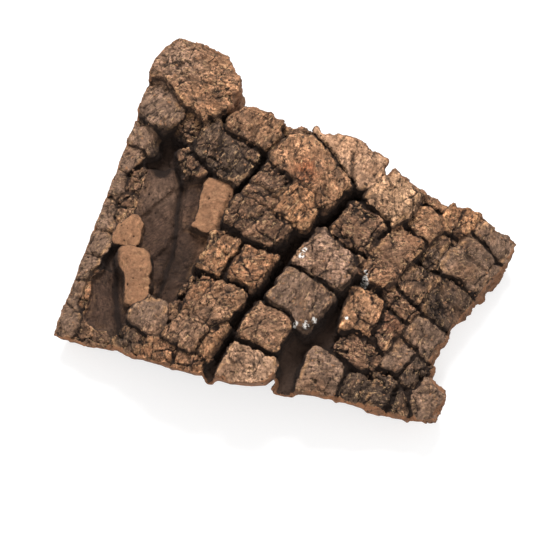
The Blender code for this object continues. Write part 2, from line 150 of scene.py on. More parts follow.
# The columns between the fissures. For each: depth of the shallow cracks within a block, depth of the cracks
# between blocks, how far the column's body stands out round its plates, and its plates.
# A plate is: centre x, y, width across the trunk, length along it, turn in degrees, rise above the fissure
# floor, block (0 for a block of its own), tone.
COLUMNS = [
    # the great knob at the back left corner
    (1.2, 4.0, 0.8, [(-59.5, 24.5, 32, 22, -8, 14.5, 0, "tan")]),
    # its shoulder, and the strip of low plates along the left saw cut
    (0.6, 1.3, 1.1, [
        (-63, 8, 17, 11.6, -24, 11.0, 0, "grey"), (-50.6, 9, 6, 8, 8, 7.6, 0, "brown"),
        (-61.6, -2.6, 11, 8, 14, 7.6, 0, "grey"), (-61.5, -11.6, 10, 9.6, 20, 5.8, 0, "grey"),
        (-53.6, -16, 6, 9, 20, 4.6, 0, "brown"), (-57.9, -21.6, 10, 10, 20, 5.4, 0, "grey"),
        (-50, -26, 6, 11, 20, 4.4, 0, "brown"), (-54.3, -32, 10, 11, 20, 5.2, 0, "grey"),
        (-50.8, -42, 10, 9.6, 20, 5.0, 0, "grey"), (-47.4, -51, 10, 9.4, 20, 4.8, 0, "grey"),
        (-44, -60.4, 9.6, 10, 20, 4.8, 0, "grey"), (-40, -56, 4, 14, 22, 4.2, 0, "orange"),
        (-39.2, -70, 12, 10.6, -22, 4.8, 0, "grey"), (-27.4, -68.4, 12, 10, 22, 4.0, 0, "brown")]),
    # smooth chips, where the outer layers have come away
    (0.5, 2.0, 0.4, [(-41.6, -32, 10, 10.6, 20, 6.6, 0, "chip")]),
    (0.5, 2.0, 0.4, [(-29.8, -44.4, 9.6, 20, 44, 7.8, 0, "chip")]),
    (0.5, 2.0, 0.6, [(-25.5, -9.6, 11.4, 18, 27, 7.4, 0, "chip")]),
    # worn ground between them
    (0.2, 0.2, 0.8, [
        (-43.5, -15, 12, 17, 30, 3.8, 0, "floor"), (-36, -22, 14, 26, 33, 2.8, 0, "floor"),
        (-31, -12, 7, 17, 36, 3.4, 0, "floor"), (-24, -30, 11, 20, 30, 2.0, 0, "floor"),
        (-19, -32, 9, 25, 8, 1.8, 0, "floor"), (-31, -57, 13, 24, 38, 1.6, 0, "floor")]),
    # left of the big block
    (1.0, 3.2, 0.9, [
        (-31.2, 22, 18.4, 13, 4, 11.6, 0, "tan"), (-33.7, 8, 21, 14.6, 0, 10.2, 0, "dark"),
        (-41, -1.6, 12, 6.4, -34, 8.6, 0, "brown")]),
    (1.0, 3.0, 1.0, [(-19.8, 29.5, 10, 7, 18, 6.4, 0, "brown")]),
    # the big block and what stands below it
    (1.3, 4.4, 0.9, [
        (-1, 35.8, 28, 13, -14, 11.4, 0, "pale"),
        (-5.6, 19.8, 26.6, 15.4, -8, 14.2, 1, "tan"), (-1.2, 8.2, 12.4, 15, 10, 13.9, 1, "amber"),
        (-13.6, 8.8, 10.8, 8.6, 0, 13.2, 1, "brown"), (-12.6, 1.4, 12, 6, 0, 13.0, 1, "brown"),
        (-8, -6.4, 21.4, 12.6, 2, 13.1, 1, "brown"),
        (-12.2, -21.6, 11, 16.5, 8, 9.6, 2, "amber"), (0.5, -18.6, 11.4, 14.6, 5, 11.6, 0, "orange"),
        (-7.6, -36.6, 6.3, 15, 5, 10.4, 3, "orange"), (0.7, -36.4, 11.4, 15.4, 4, 11.3, 3, "tan"),
        (-1.4, -50.2, 12.4, 13.2, 4, 10.9, 3, "tan"), (7.2, -46.6, 4.4, 14, 8, 9.8, 3, "amber"),
        (-12.6, -36, 3.6, 9, 10, 6.6, 0, "brown"), (-11, -45, 4, 8, 15, 6.4, 0, "brown"),
        (-5.2, -60.6, 13, 9, 16, 8.6, 3, "orange"), (5, -57.8, 9.4, 8, 16, 9.0, 3, "orange")]),
    (1.0, 2.6, 1.1, [(-15.4, -52.6, 10, 12, 0, 8.2, 0, "grey"), (-15.8, -62.2, 12, 8.4, 8, 5.6, 0, "dark")]),
    # the middle column
    (1.2, 4.0, 0.9, [
        (21.6, 32.2, 14.2, 17.2, 2, 12.0, 0, "straw"), (18.9, 15.2, 13.2, 13.6, 4, 11.2, 0, "brown"),
        (18.8, -0.6, 18.6, 15.2, 2, 12.0, 0, "ash"), (20.6, -16.8, 17.6, 15, 0, 12.4, 0, "grey"),
        (18, -31.8, 13.4, 13.8, 12, 11.0, 0, "tan"), (22.8, -47.6, 15.6, 14, 14, 10.0, 0, "pale")]),
    # right of it
    (1.2, 3.4, 1.2, [
        (35.6, 32.4, 8.4, 12.2, 6, 9.6, 0, "tan"), (31.8, 41, 8.6, 5, 14, 7.8, 0, "tan"),
        (34.2, 15, 10.8, 22, 0, 10.8, 0, "orange")]),
    # small plates beside the dark floor
    (1.0, 3.0, 1.5, [
        (41.8, 41.4, 11, 10.2, 8, 9.2, 0, "amber"), (43.7, 27.6, 4.4, 14, 0, 6.8, 0, "dark"),
        (46, 14.4, 8.4, 12.2, 0, 8.4, 0, "brown"), (46.2, 4, 12, 6.6, -8, 8.4, 0, "brown"),
        (39.6, -6.8, 11, 15.2, 24, 9.8, 0, "amber"), (49, -5.4, 8.4, 12, 0, 9.2, 0, "brown"),
        (46.2, -18, 12.4, 8.8, -4, 7.8, 0, "brown"), (42.8, -31, 13.6, 13.4, 18, 6.8, 0, "grey"),
        (52, -27.6, 8.4, 11.8, 28, 6.4, 0, "dark")]),
    # small plates along the broken right side
    (0.9, 2.6, 1.5, [
        (53.8, 45.2, 11.8, 8, 8, 8.0, 0, "grey"), (53.8, 32.6, 13.4, 15.4, 2, 8.6, 0, "grey"),
        (57.6, 16.4, 11.4, 14.6, -2, 7.4, 0, "dark"), (59.2, 2, 11.6, 10.8, -4, 7.2, 0, "grey"),
        (57.6, -10.2, 6.4, 11.8, 4, 7.2, 0, "grey"), (60, -21, 8.2, 11, 28, 6.2, 0, "dark"),
        (64.4, -9.8, 6.6, 10, 0, 6.8, 0, "dark"), (66.8, -20.2, 6.6, 7.4, 24, 6.2, 0, "dark"),
        (72.4, -14, 11.2, 14, 0, 8.6, 0, "grey")]),
]

# Grooves, pits and shallow cracks sunk into the outer face: points of its line, half width, depth
GROOVES = [
    ([(-46, -4), (-38, -9), (-33, -18), (-26.5, -27), (-21.5, -38), (-19, -45)], 1.4, 2.6),
    ([(-53, 1), (-51.5, -3.5), (-49.5, -7)], 3.8, 4.4),
    ([(-40, -42), (-32, -51), (-25, -58), (-20, -63)], 1.8, 2.6),
    ([(32, -2), (31.5, -14), (29, -28), (31, -39)], 2.4, 1.6),
    ([(10, 24), (9.5, 8), (6.5, -4), (8, -20), (9.5, -40), (11, -50)], 1.6, 2.0),
    ([(-21, 26), (-20.5, 10), (-20, -5), (-17, -14)], 1.4, 1.6),
    ([(-71, 21), (-65, 24), (-61, 30)], 0.8, 1.0),
    ([(-66, 14), (-64, 20), (-58, 22)], 0.8, 1.1),
    ([(-57, 31), (-53, 25), (-54, 18)], 0.7, 0.8),
    ([(-30, 27), (-31, 21), (-29, 15)], 0.8, 1.2),
    ([(-40, 15), (-37, 9), (-35, 2)], 0.8, 1.8),
    ([(-30, 14), (-28.5, 7), (-29, 1)], 0.7, 1.0),
    ([(-9, 1), (-8, -6), (-8.5, -12)], 0.7, 1.0),
    ([(1, 34), (4, 31), (8, 25)], 0.8, 1.8),
    ([(22, 39), (21.5, 32), (23, 25)], 0.7, 0.8),
    ([(12, 9), (20, 8.5), (27, 5.5)], 0.8, 1.6),
    ([(18, 6), (19, -1), (18, -8)], 0.7, 0.8),
    ([(28, 13.5), (34, 13), (40, 14)], 0.7, 1.1),
    ([(-2, -29), (-1, -37), (-3, -44)], 0.7, 1.0),
    ([(47, 36), (53, 33), (59, 34)], 0.7, 1.0),
    ([(50, 19), (56, 17), (63, 18)], 0.7, 1.0),
    ([(36, -5), (41, -6), (44, -12)], 0.7, 1.1),
    ([(38, -29), (44, -31), (48, -36)], 0.7, 0.9),
    ([(17, -50), (23, -47), (29, -45)], 0.7, 0.8),
]

# Stains on the plates and on the ground, laid down in this order: centre x, y, radius, tone, strength
STAINS = [
    (-70, 25, 8, "grey", 0.9), (-64, 24, 6, "grey", 0.6), (-6, 18, 4.5, "rust", 0.7),
    (-33, 14, 8, "dark", 0.5), (-12, 6, 6, "brown", 0.7), (20, 26, 6, "brown", 0.5),
    (22, 34, 5, "straw", 0.5), (45.5, 10, 4, "tan", 0.8), (55, 29, 4, "tan", 0.7), (48, -4, 5, "rust", 0.4),
    (43, -37, 5, "tan", 0.6), (-8, -60, 6, "orange", 0.6), (-22, -66, 6, "dark", 0.5),
    (33, 8, 6, "brown", 0.5), (-48, 20, 5, "orange", 0.5), (16, -4, 6, "brown", 0.5),
    (-16, -18, 6, "chip", 0.7), (0, -44, 6, "grey", 0.4), (-35, 20, 6, "brown", 0.3),
    (-1.4, -51, 7, "grey", 0.6), (-19, -30, 9, "gloom", 0.8), (-52, -3.5, 4.5, "gloom", 0.6),
    (32, -18, 12, "gloom", 0.3), (-13, 8, 5, "dark", 0.6), (46, 16, 5, "dark", 0.9), (52, 34, 6, "dark", 0.7),
    (-3, -9, 5, "orange", 0.2), (-43, -15, 7, "grey", 0.4), (34, 17, 8, "grey", 0.6),
    (-1, 8, 6, "orange", 0.3), (42, 41, 6, "orange", 0.8), (-74, 18, 8, "ash", 0.5),
    (57, 17, 6, "gloom", 0.3), (18, -32, 9, "grey", 0.5), (2, -37, 6, "grey", 0.3),
    (48, -6, 6, "dark", 0.4), (-10, -7, 6, "dark", 0.3), (-60, 25, 4, "grey", 0.3), (61, 3, 4, "dark", 0.5),
    (-4, 37, 8, "amber", 0.5), (10, 34, 5, "tan", 0.6), (17, -50, 5, "brown", 0.6), (38, -6, 6, "pale", 0.3),
    (40, -30, 6, "ash", 0.4), (-12, -24, 5, "orange", 0.4),
]

# Places of white mould: centre x, y, radius
MOULD_SPOTS = [
    (32.4, 2.1, 1.7), (31.2, 4.6, 1.1), (11.3, -5.2, 1.2), (10.6, -3.0, 1.0), (36, -12, 1.0),
    (28.1, -23.2, 1.4), (25.3, -25.1, 1.2), (29.2, -20.2, 1.1), (31, -43, 1.0),
]

# Layers that have flaked off the plates' tops
FLAKE_SIZE = 9.0            # across one bare place
FLAKE_LAYER = 0.55          # thickness of one layer
FLAKE_REACH = 1.5           # deepest loss

# Weathered relief, from the net of cracks down to the pores: spacings and heights of what the solid lacks
WEATHER = {
    "Crackle Size": 6.5,
    "Crackle Depth": 0.7,
    "Fine Crackle Size": 2.6,
    "Fine Crackle Depth": 0.35,
    "Facet Size": 1.8,
    "Facet Depth": 0.5,
    "Crumb Size": 1.5,
    "Crumb Depth": 0.4,
    "Wrinkle Size": 1.2,
    "Wrinkle Depth": 0.28,
    "Layer Thickness": 1.3,
    "Layer Depth": 0.5,
    "Torn Size": 3.2,
    "Torn Depth": 1.1,
    "Lump Size": 3.6,
    "Lump Depth": 0.7,
    "Pore Spacing": 2.6,
    "Pore Depth": 0.5,
    "Chip Grain": 0.08,
    "Inner Ridge Spacing": 1.6,
    "Inner Ridge Depth": 0.25,
}

# Loose flakes of cork on the crust, in metres: radius before stretching, number on a square metre, seed
FLAKES = {
    "Flake Size": 0.00055,
    "Flakes Per Area": 60000.0,
    "Flake Seed": 5,
}
FLAKE_JITTER = (0.0002, 0.0002, 0.0001)     # how far a flake's corners stray
FLAKE_TURN = (0.4, 0.4, 3.14)               # furthest turn about its own axes, in radians
FLAKE_SMALLEST = (0.5, 0.5, 0.25)           # stretch along its own axes
FLAKE_LARGEST = (1.6, 1.0, 0.5)

# The picture's setting, in metres: lamps as name, place from the piece's middle, size, power in watts
LAMPS = (("key", (-0.5, 0.55, 0.9), 0.45, 17), ("fill", (0.8, -0.5, 0.9), 1.0, 6))
DAYLIGHT = 0.7              # strength of the even white light from all round
PAPER_GREY = 0.45
PAPER_GLOW = 0.6            # lifts the paper to white without washing out the piece's shadow
PAPER_HALF = 2.0
PAPER_GAP = 0.0002          # keeps the paper clear of the faces that stand on it
VIEW_AZIMUTH = math.radians(40)
VIEW_ELEVATION = math.radians(70)
VIEW_DISTANCE = 1.3
VIEW_WIDTH = 0.180          # width of the picture at the piece
FILM_WIDTH = 36             # of the camera, in millimetres


def rough(x, y, size, salt):
    """Smooth noise from -1 to 1 whose lumps are about size across."""
    return np.array([noise.noise(Vector((a / size, b / size, salt))) for a, b in zip(x, y)])


def arch(x, y):
    """Height of the inner face's smooth arch."""
    across = x * math.cos(ARCH_TURN) + y * math.sin(ARCH_TURN) - ARCH_CROWN
    return (ARCH_HALF_SPAN ** 2 - across ** 2) / (2 * TRUNK_RADIUS)


def line_distance(x, y, line):
    """Distance to a line of straight stretches."""
    nearest = np.full(len(x), np.inf)
    for (ax, ay), (bx, by) in zip(line, line[1:]):
        ux, uy = bx - ax, by - ay
        along = np.clip(((x - ax) * ux + (y - ay) * uy) / (ux * ux + uy * uy), 0, 1)
        nearest = np.minimum(nearest, np.hypot(x - ax - along * ux, y - ay - along * uy))
    return nearest


def plate_depth(x, y, plate):
    """How far a point lies inside a plate's rounded rectangle; negative outside it."""
    cx, cy, width, length, turn = plate[:5]
    c, s = math.cos(math.radians(turn)), math.sin(math.radians(turn))
    corner = CORNER * min(width, length)
    u = np.abs((x - cx) * c + (y - cy) * s) - width / 2 + corner
    v = np.abs((y - cy) * c - (x - cx) * s) - length / 2 + corner
    outside = np.hypot(np.maximum(u, 0), np.maximum(v, 0))
    return corner - outside - np.minimum(np.maximum(u, v), 0)


def two_deepest(depths):
    """For each point the row with the greatest depth, that depth, the next row and the next depth."""
    order = np.argsort(depths, axis=0)
    point = np.arange(depths.shape[1])
    first = order[-1]
    second = order[-2] if len(depths) > 1 else first
    next_depth = depths[second, point] if len(depths) > 1 else np.full(len(point), -np.inf)
    return first, depths[first, point], second, next_depth


def nearest_plate(x, y):
    """For each point: its plate's number, its depth inside its column, and the depth of the crack there."""
    wx = x + WANDER * rough(x, y, WANDER_SIZE, 3.1) + JAG * rough(x, y, JAG_SIZE, 31.4)
    wy = y + WANDER * rough(x, y, WANDER_SIZE, 7.7) + JAG * rough(x, y, JAG_SIZE, 44.9)
    plates, column_depths, cracks = [], [], []
    count = 0
    for shallow, deep, swell, members in COLUMNS:
        own, first, other, second = two_deepest(np.array([plate_depth(wx, wy, plate) for plate in members]))
        block = np.array([plate[6] for plate in members])
        together = (block[own] == block[other]) & (block[own] > 0)
        depth = np.where(together, shallow, deep)
        cracks.append(depth * np.exp(-((first - second) / 2 / CROSS_WIDTH) ** 2))
        plates.append(own + count)
        column_depths.append(first + swell)
        count += len(members)
    column, first, _, second = two_deepest(np.array(column_depths))
    point = np.arange(len(x))
    inside = np.minimum(first, (first - second - FISSURE) / 2)
    return np.array(plates)[column, point], inside, np.array(cracks)[column, point]


def all_plates():
    """Every plate, in the order of their numbers."""
    return [plate for *_, members in COLUMNS for plate in members]


def relief(x, y, own, inside, crack):
    """Height of the plates above the fissure floor."""
    plates = all_plates()
    size = np.array([min(plate[2], plate[3]) for plate in plates])[own]
    rise = np.array([plate[5] for plate in plates])[own]
    wall = EDGE_SHARE * np.exp(-(np.minimum(inside, 0) / WALL_RUN) ** 2)
    top = 1 - (1 - EDGE_SHARE) * np.exp(-np.maximum(inside, 0) / SHOULDER)
    dome = DOME * size * np.clip(2 * inside / size, 0, 1)
    lean = np.random.default_rng(TILT_SEED).uniform(-TILT, TILT, (len(plates), 2))[own]
    middle = np.array([plate[:2] for plate in plates])[own]
    tilt = np.clip(lean[:, 0] * (x - middle[:, 0]) + lean[:, 1] * (y - middle[:, 1]), -1, 1)
    share = np.where(inside < 0, wall, top)
    return share * (rise + tilt - crack) + dome


def grooves(x, y):
    """Depth of the grooves, pits and shallow cracks."""
    wx = x + WANDER * rough(x, y, WANDER_SIZE, 5.3)
    deepest = np.zeros(len(x))
    for line, half_width, depth in GROOVES:
        deepest = np.maximum(deepest, depth * np.exp(-(line_distance(wx, y, line) / half_width) ** 2))
    return deepest


def outline():
    """The piece's plan as one closed line."""
    return [corner for side, _ in SIDES for corner in side]


def side_drop(x, y):
    """How far the outer face falls towards the piece's sides."""
    corners = outline()
    drop = np.zeros(len(x))
    start = 0
    for side, depth in SIDES:
        stretch = (corners + corners[:1])[start:start + len(side) + 1]
        drop = np.maximum(drop, depth * np.exp(-line_distance(x, y, stretch) / SIDE_FALL))
        start += len(side)
    return drop


def inner_face(x, y):
    """Height of the underside, worn flat along its low sides."""
    ridges = INNER_RIDGE * rough(x, y / INNER_RIDGE_STRETCH, INNER_RIDGE_WIDTH, 12.5)
    return np.maximum(arch(x, y) + ridges - WORN_FLAT, 0)


def flaked(x, y, inside):
    """Height lost where thin layers have flaked off, in steps one layer deep."""
    loss = rough(x, y, FLAKE_SIZE, 61.0) + 0.5 * rough(x, y, FLAKE_SIZE / 3, 67.0)
    level = FLAKE_REACH * np.clip(loss + 0.35, 0, 1) / FLAKE_LAYER
    step = np.floor(level)
    riser = np.clip((level - step - 0.8) / 0.2, 0, 1)
    return FLAKE_LAYER * (step + riser) * np.clip(inside + 0.5, 0, 1)


def outer_face(x, y, own, inside, crack):
    """Height of the plated outer face."""
    lumps = LUMP * rough(x, y, LUMP_SIZE, 21.0)
    floor = np.maximum(arch(x, y), 0) + FLOOR_THICKNESS + lumps
    plates = relief(x, y, own, inside, crack)
    return floor + plates - grooves(x, y) - side_drop(x, y) - flaked(x, y, inside)


def srgb(code):
    """A hex colour as linear red, green and blue."""
    channels = [int(code[i:i + 2], 16) / 255 for i in (1, 3, 5)]
    return [c / 12.92 if c <= 0.04045 else ((c + 0.055) / 1.055) ** 2.4 for c in channels]


def plain_mesh(obj):
    """The object's shape with its modifiers worked in; the object itself is removed."""
    bpy.context.view_layer.update()
    mesh = bpy.data.meshes.new_from_object(obj.evaluated_get(bpy.context.evaluated_depsgraph_get()))
    bpy.data.objects.remove(obj)
    return mesh


def placed(name, data):
    """An object of that name in the scene."""
    obj = bpy.data.objects.new(name, data)
    bpy.context.scene.collection.objects.link(obj)
    return obj


def even_out(obj, voxel):
    """Gives the object an even mesh of small squares."""
    remesh = obj.modifiers.new("even_mesh", "REMESH")
    remesh.mode = "VOXEL"
    remesh.voxel_size = voxel


def read(items, name, width=1, kind=np.float32):
    """One property of all the items, with a row for each."""
    values = np.empty(len(items) * width, dtype=kind)
    items.foreach_get(name, values)
    return values.reshape(-1, width)


def mesh_points(mesh):
    """The mesh's points, one to a row."""
    return read(mesh.vertices, "co", 3).astype(float)


def set_points(mesh, points):
    """Moves the mesh's points to those places."""
    mesh.vertices.foreach_set("co", points.astype(np.float32).ravel())
    mesh.update()


def slab_mesh():
    """A flat slab with the piece's plan, meshed finely enough to be shaped."""
    curve = bpy.data.curves.new("plan", "CURVE")
    curve.dimensions = "2D"
    curve.fill_mode = "BOTH"
    curve.extrude = SLAB_THICKNESS / 2
    corners = outline()
    spline = curve.splines.new("POLY")
    spline.points.add(len(corners) - 1)
    for point, (x, y) in zip(spline.points, corners):
        point.co = (x, y, 0, 1)
    spline.use_cyclic_u = True
    plan = placed("plan", curve)
    even_out(plan, SLAB_VOXEL)
    return plain_mesh(plan)


def brokenness(x, y):
    """1 at the broken sides, fading to 0 away from them."""
    away = np.minimum(line_distance(x, y, RIGHT_BROKEN), line_distance(x, y, BACK_BROKEN))
    return np.exp(-(away / BREAK_REACH) ** 2)


def chafe(points):
    """Sideways shift of each point that roughens the walls in low ledges, most of all at the broken sides."""
    noise.seed_set(CHAFE_SEED)
    places = points / (CHAFE_SIZE, CHAFE_SIZE, LEDGE)
    reach = CHAFE + (BREAK - CHAFE) * brokenness(points[:, 0], points[:, 1])
    return np.array([noise.noise_vector(Vector(place))[:2] for place in places]) * reach[:, None]


def shaped_bark():
    """The bark's form, evenly meshed, in millimetres and in the plan's own place."""
    slab = slab_mesh()
    x, y, z = mesh_points(slab).T
    share = np.clip(z / SLAB_THICKNESS + 0.5, 0, 1)
    low = inner_face(x, y)
    height = low + share * (outer_face(x, y, *nearest_plate(x, y)) - low)
    lean = 1 - UNDERCUT * (1 - share)
    points = np.column_stack([x * lean, y * lean, height])
    points[:, :2] += chafe(points)
    set_points(slab, points)
    shaped = placed("shaped", slab)
    even_out(shaped, BARK_VOXEL)
    return plain_mesh(shaped)


def store(mesh, name, values):
    """Keeps one number for each of the mesh's points."""
    attribute = mesh.attributes.new(name, "FLOAT", "POINT")
    attribute.data.foreach_set("value", np.asarray(values, dtype=np.float32))


def smooth_step(value, low, high):
    """0 up to low, 1 from high on, and a soft rise between them."""
    t = np.clip((value - low) / (high - low), 0, 1)
    return t * t * (3 - 2 * t)


def spread(x, y, spots):
    """The strongest of some round soft-edged spots at each point."""
    strongest = np.zeros(len(x))
    for sx, sy, radius in spots:
        strongest = np.maximum(strongest, np.exp(-((x - sx) ** 2 + (y - sy) ** 2) / radius ** 2))
    return strongest


def stained(x, y, tint):
    """The plates' own tones with the stains laid over them."""
    for sx, sy, radius, tone, strength in STAINS:
        share = strength * spread(x, y, [(sx, sy, radius)])[:, None]
        tint = tint * (1 - share) + share * np.array(srgb(TONES[tone]))
    return tint


def mark_surface(mesh):
    """Stores what kind of surface each point lies on, for the relief and the colours that follow."""
    points = mesh_points(mesh)
    up = read(mesh.vertex_normals, "vector", 3)[:, 2]
    z = points[:, 2]
    x, y = (points[:, :2] - chafe(points)).T
    own, inside, crack = nearest_plate(x, y)
    low = inner_face(x, y)
    high = outer_face(x, y, own, inside, crack)
    tones = [row[7] for row in all_plates()]
    rise = np.array([row[5] for row in all_plates()])[own]
    lean = UNDERCUT * np.clip((high - z) / (high - low), 0, 1) * np.hypot(x, y)
    border = line_distance(x, y, outline() + outline()[:1]) - lean
    inner = smooth_step(-up, 0.25, 0.6) * (border > 0.6) + (z - low < 0.8) * (border > 1.2)
    side = smooth_step(-border, -1.5, -0.9) * smooth_step(-np.abs(up), -0.8, -0.6)

    def of_tone(name):
        return np.array([tone == name for tone in tones], dtype=float)[own]

    marks = {
        "inner": np.clip(inner, 0, 1),
        "side": side,
        "broken": brokenness(x, y) * side,
        "wall": smooth_step(-np.abs(up), -0.6, -0.35) * (1 - side),
        "inside": inside,
        "crack": crack,
        "groove": grooves(x, y),
        "sunk": (np.maximum(arch(x, y), 0) + FLOOR_THICKNESS + rise - z) / 10,
        "chip": of_tone("chip") * (inside > -0.3),
        "floor": of_tone("floor") * (inside > -1.5),
        "height": z - arch(x, y),
        "mould": spread(x, y, MOULD_SPOTS),
        "crumbly": np.array([CRUMBLY[tone] for tone in tones])[own],
        "turn": np.random.default_rng(STREAK_SEED).uniform(-STREAK_TURN, STREAK_TURN, len(tones))[own],
    }
    for name, values in marks.items():
        store(mesh, name, values)
    tint = stained(x, y, np.array([srgb(TONES[tone]) for tone in tones])[own])
    colour = mesh.attributes.new("tint", "FLOAT_COLOR", "POINT")
    colour.data.foreach_set("color", np.column_stack([tint, np.ones(len(x))]).astype(np.float32).ravel())


def node(tree, kind, links=(), **settings):
    """Adds a node with its settings; links are pairs of an input and a socket or value that feeds it."""
    made = tree.nodes.new(kind)
    for name, value in settings.items():
        setattr(made, name, value)
    for key, value in dict(links).items():
        if isinstance(value, bpy.types.NodeSocket):
            tree.links.new(value, made.inputs[key])
        elif isinstance(value, bpy.types.Node):
            tree.links.new(value.outputs[0], made.inputs[key])
        else:
            made.inputs[key].default_value = value
    return made


def chained(tree, operation, *terms):
    """All the terms joined by one operation of the Math node."""
    result = terms[0]
    for term in terms[1:]:
        result = node(tree, "ShaderNodeMath", {0: result, 1: term}, operation=operation).outputs[0]
    return result


def scaled(tree, vector, scale):
    """A vector or colour times a number."""
    return node(tree, "ShaderNodeVectorMath", {0: vector, "Scale": scale}, operation="SCALE").outputs[0]


def stored(tree, name):
    """A number kept for each of the mesh's points, in a Geometry Nodes tree."""
    named = node(tree, "GeometryNodeInputNamedAttribute", {"Name": name}, data_type="FLOAT")
    return named.outputs["Attribute"]


def new_tree(name, inputs):
    """A Geometry Nodes tree with a mesh going in and out and the named numbers as its inputs."""
    tree = bpy.data.node_groups.new(name, "GeometryNodeTree")
    tree.interface.new_socket("Geometry", in_out="INPUT", socket_type="NodeSocketGeometry")
    for label, value in inputs.items():
        kind = "NodeSocketInt" if isinstance(value, int) else "NodeSocketFloat"
        tree.interface.new_socket(label, in_out="INPUT", socket_type=kind)
    tree.interface.new_socket("Geometry", in_out="OUTPUT", socket_type="NodeSocketGeometry")
    return tree, tree.nodes.new("NodeGroupInput"), tree.nodes.new("NodeGroupOutput")


def run_tree(obj, tree, inputs):
    """Puts the tree on the object with its named inputs set."""
    modifier = obj.modifiers.new(tree.name, "NODES")
    modifier.node_group = tree
    for item in tree.interface.items_tree:
        if item.in_out == "INPUT" and item.name in inputs:
            modifier[item.identifier] = inputs[item.name]


def weather_tree():
    """Moves each point along its normal by the weathered relief, and stores what the colours need of that."""
    tree, given, out = new_tree("weathered_relief", WEATHER)
    position = node(tree, "GeometryNodeInputPosition")

    def value(name):
        return given.outputs[name]

    def combine(operation, *terms):
        return chained(tree, operation, *terms)

    def attribute(name):
        return stored(tree, name)

    turned = node(tree, "ShaderNodeVectorRotate", {"Vector": position, "Angle": attribute("turn")},
                  rotation_type="Z_AXIS")

    def stretched(size, x=1.0, y=1.0, z=1.0, on=position):
        """The position in units of size, pulled out along an axis by a factor below 1."""
        place = scaled(tree, on, combine("DIVIDE", 1.0, size))
        return node(tree, "ShaderNodeVectorMath", {0: place, 1: (x, y, z)}, operation="MULTIPLY")

    def noise_of(place, detail=3.0, roughness=0.55):
        return node(tree, "ShaderNodeTexNoise", {"Vector": place, "Scale": 1.0, "Detail": detail,
                                                 "Roughness": roughness}).outputs[0]

    def ramp(field, low, high, bottom=0.0, top=1.0):
        """The field carried from low..high to bottom..top, with soft ends."""
        return node(tree, "ShaderNodeMapRange", {0: field, 1: low, 2: high, 3: bottom, 4: top},
                    interpolation_type="SMOOTHSTEP").outputs[0]

    def swirled(place, amount):
        """The place pushed about by noise, so that cells and cracks aren't straight."""
        push = node(tree, "ShaderNodeTexNoise", {"Vector": place, "Scale": 0.9, "Detail": 3.0})
        off_middle = node(tree, "ShaderNodeVectorMath", {0: push.outputs["Color"], 1: (0.5, 0.5, 0.5)},
                          operation="SUBTRACT")
        shift = scaled(tree, off_middle, amount)
        return node(tree, "ShaderNodeVectorMath", {0: place, 1: shift}, operation="ADD")

    def cells(place, feature="F1"):
        return node(tree, "ShaderNodeTexVoronoi", {"Vector": place, "Scale": 1.0}, feature=feature)

    def crackle(size, width):
        """1 on a net of cracks, 0 between them."""
        edges = cells(swirled(stretched(size, 1.0, 0.75, 0.6), 0.6), "DISTANCE_TO_EDGE")
        return ramp(edges.outputs[0], 0.0, width, 1.0, 0.0)

    def cut(shape, depth, *shares):
        """A shape from 0 to 1 turned into a depth."""
        return combine("MULTIPLY", shape, value(depth), *shares)

    def swell(field, depth, *shares):
        """A field round 0.5 turned into a height that goes both up and down."""
        centred = combine("SUBTRACT", field, 0.5)
        return combine("MULTIPLY", centred, 2.0, value(depth), *shares)

    inner, side, wall = attribute("inner"), attribute("side"), attribute("wall")
    worn = combine("MAXIMUM", attribute("chip"), attribute("floor"))
    crust = combine("MULTIPLY", combine("SUBTRACT", 1.0, inner), combine("SUBTRACT", 1.0, side))
    old_crust = combine("MULTIPLY", crust, ramp(worn, 0.0, 1.0, 1.0, 0.12))

    patchy = combine("MULTIPLY", ramp(noise_of(stretched(8.0)), 0.36, 0.56, 0.2, 1.0), attribute("crumbly"))
    smooth_patch = combine("SUBTRACT", 1.1, patchy)
    coarse = cut(crackle(value("Crackle Size"), 0.07), "Crackle Depth", patchy, old_crust)
    fine = cut(crackle(value("Fine Crackle Size"), 0.12), "Fine Crackle Depth", patchy, old_crust)

    grains = cells(swirled(stretched(value("Crumb Size")), 1.0))
    gap = ramp(grains.outputs["Distance"], 0.25, 0.65)
    crumbs = cut(gap, "Crumb Depth", patchy, old_crust)
    facets = cells(swirled(stretched(value("Facet Size"), 1.0, 0.5, 1.0, turned), 0.5))
    facet_level = node(tree, "ShaderNodeSeparateXYZ", {0: facets.outputs["Color"]}).outputs[0]
    facet = swell(facet_level, "Facet Depth", old_crust, patchy, 0.5)
    across = noise_of(stretched(value("Wrinkle Size"), 1.0, 0.22, 1.0, turned), 3.0, 0.6)
    wrinkles = swell(across, "Wrinkle Depth", smooth_patch, old_crust)
    lumps = swell(noise_of(stretched(value("Lump Size")), 4.0, 0.62), "Lump Depth", old_crust)

    pores = cells(stretched(value("Pore Spacing")))
    pore = combine("MULTIPLY", ramp(pores.outputs["Distance"], 0.10, 0.24, 1.0, 0.0),
                   ramp(noise_of(stretched(5.0)), 0.46, 0.54))
    off_ground = ramp(node(tree, "ShaderNodeSeparateXYZ", {0: position}).outputs[2], 0.05, 0.6)
    pore_cut = cut(pore, "Pore Depth", ramp(crust, 0.0, 1.0, 0.5, 1.0), off_ground)

    bent = combine("ADD", attribute("height"), combine("MULTIPLY", noise_of(stretched(6.0)), 1.8))
    ledge = combine("DIVIDE", combine("PINGPONG", bent, value("Layer Thickness")), value("Layer Thickness"))
    layers = swell(ledge, "Layer Depth", combine("MAXIMUM", wall, attribute("broken")), 0.5)
    torn = swell(noise_of(stretched(value("Torn Size"), 1.0, 1.0, 2.2), 4.0, 0.65), "Torn Depth",
                 attribute("broken"))

